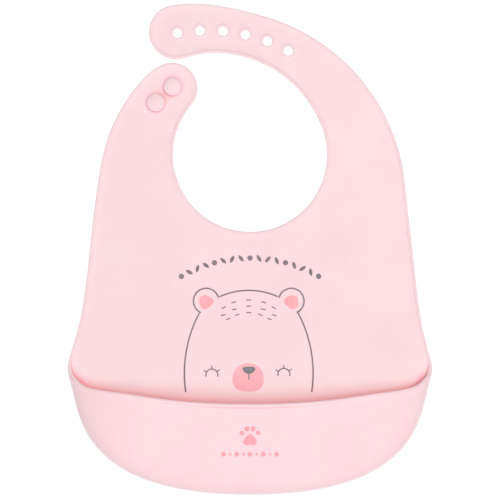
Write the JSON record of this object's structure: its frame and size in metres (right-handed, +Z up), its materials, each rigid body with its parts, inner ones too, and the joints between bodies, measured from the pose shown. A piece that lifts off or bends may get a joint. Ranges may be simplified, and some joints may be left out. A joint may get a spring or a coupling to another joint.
{
  "type": "silicone bib",
  "caption": "Soft moulded bib with a round neck opening, a long strap with holes, a short strap with mushroom studs and a catch pocket that stands open at the bottom.",
  "frame": {"origin": "centre of the neck opening, in the plane of the flat back face", "axes": "+Z up as the bib hangs, from the pocket towards the straps; +Y out of the back face, towards the wearer; +X to the right of someone who looks at the front"},
  "size_m": [0.2292, 0.0299, 0.3088],
  "materials": {
    "silicone": "matte",
    "pocket_silicone": "matte",
    "grey_ink": "matte",
    "coral_ink": "matte"
  },
  "bodies": {
    "yoke": {"yoke": "silicone", "apron_fold_strip": "silicone", "right_shoulder_fold_strip": "silicone", "left_shoulder_fold_strip": "silicone"},
    "apron": {"apron_panel": "silicone", "pocket_wall": "pocket_silicone", "pocket_lip_bead": "pocket_silicone", "print_head_outline": "grey_ink", "print_closed_eyes": "grey_ink", "print_forehead_ticks": "grey_ink", "print_inner_ears": "coral_ink", "print_muzzle": "coral_ink", "print_nose": "grey_ink", "print_garland": "grey_ink", "print_paw": "coral_ink", "print_dot_row": "coral_ink"},
    "long_strap_a": {"long_strap_root": "silicone", "long_strap_flex_1": "silicone"},
    "long_strap_b": {"long_strap_plain": "silicone", "long_strap_flex_2": "silicone"},
    "long_strap_c": {"long_strap_hole_6": "silicone", "long_strap_flex_3": "silicone"},
    "long_strap_d": {"long_strap_holes_5_4": "silicone", "long_strap_flex_4": "silicone"},
    "long_strap_e": {"long_strap_holes_3_2": "silicone", "long_strap_flex_5": "silicone"},
    "long_strap_f": {"long_strap_tip": "silicone"},
    "short_strap_a": {"short_strap_root": "silicone", "short_strap_flex_1": "silicone"},
    "short_strap_b": {"short_strap_length": "silicone", "short_strap_flex_2": "silicone", "stud_lower": "silicone"},
    "short_strap_c": {"short_strap_tip": "silicone", "stud_upper": "silicone"}
  },
  "joints": [
    {"name": "apron_fold", "type": "hinge", "parent": "yoke", "child": "apron", "pos_m": [0, -0.0009, -0.055], "axis": [-1, 0, 0], "range_deg": [-150, 125], "deforming": ["apron_fold_strip"]},
    {"name": "right_shoulder_fold", "type": "hinge", "parent": "yoke", "child": "long_strap_a", "pos_m": [0.07, -0.0009, 0.008], "axis": [-1, 0, 0], "range_deg": [-60, 100], "stiffness_Nm_per_rad": 0.03, "deforming": ["right_shoulder_fold_strip"]},
    {"name": "left_shoulder_fold", "type": "hinge", "parent": "yoke", "child": "short_strap_a", "pos_m": [-0.07, -0.0009, 0.008], "axis": [-1, 0, 0], "range_deg": [-60, 100], "stiffness_Nm_per_rad": 0.03, "deforming": ["left_shoulder_fold_strip"]},
    {"name": "long_strap_curl_1", "type": "hinge", "parent": "long_strap_a", "child": "long_strap_b", "pos_m": [0.05506, -0.0009, 0.03312], "axis": [-0.829, 0, -0.5592], "range_deg": [-20, 30], "stiffness_Nm_per_rad": 0.012, "deforming": ["long_strap_flex_1"]},
    {"name": "long_strap_curl_2", "type": "hinge", "parent": "long_strap_b", "child": "long_strap_c", "pos_m": [0.03194, -0.0009, 0.05946], "axis": [-0.5736, 0, -0.8192], "range_deg": [-20, 30], "stiffness_Nm_per_rad": 0.012, "deforming": ["long_strap_flex_2"]},
    {"name": "long_strap_curl_3", "type": "hinge", "parent": "long_strap_c", "child": "long_strap_d", "pos_m": [0.01755, -0.0009, 0.06835], "axis": [-0.4221, 0, -0.9065], "range_deg": [-20, 30], "stiffness_Nm_per_rad": 0.012, "deforming": ["long_strap_flex_3"]},
    {"name": "long_strap_curl_4", "type": "hinge", "parent": "long_strap_d", "child": "long_strap_e", "pos_m": [-0.00985, -0.0009, 0.0766], "axis": [-0.1678, 0, -0.9858], "range_deg": [-20, 30], "stiffness_Nm_per_rad": 0.012, "deforming": ["long_strap_flex_4"]},
    {"name": "long_strap_curl_5", "type": "hinge", "parent": "long_strap_e", "child": "long_strap_f", "pos_m": [-0.0385, -0.0009, 0.0772], "axis": [0.112, 0, -0.9937], "range_deg": [-20, 30], "stiffness_Nm_per_rad": 0.012, "deforming": ["long_strap_flex_5"]},
    {"name": "short_strap_curl_1", "type": "hinge", "parent": "short_strap_a", "child": "short_strap_b", "pos_m": [-0.06535, -0.0009, 0.02509], "axis": [-0.9336, 0, 0.3584], "range_deg": [-20, 30], "stiffness_Nm_per_rad": 0.012, "deforming": ["short_strap_flex_1"]},
    {"name": "short_strap_curl_2", "type": "hinge", "parent": "short_strap_b", "child": "short_strap_c", "pos_m": [-0.0539, -0.0009, 0.0377], "axis": [-0.6862, 0, 0.7274], "range_deg": [-20, 30], "stiffness_Nm_per_rad": 0.012, "deforming": ["short_strap_flex_2"]}
  ],
  "couplings": [
    {"joint": "long_strap_curl_2", "follows": "long_strap_curl_1", "ratio": 1},
    {"joint": "long_strap_curl_3", "follows": "long_strap_curl_1", "ratio": 1},
    {"joint": "long_strap_curl_4", "follows": "long_strap_curl_1", "ratio": 1},
    {"joint": "long_strap_curl_5", "follows": "long_strap_curl_1", "ratio": 1},
    {"joint": "short_strap_curl_2", "follows": "short_strap_curl_1", "ratio": 1}
  ]
}
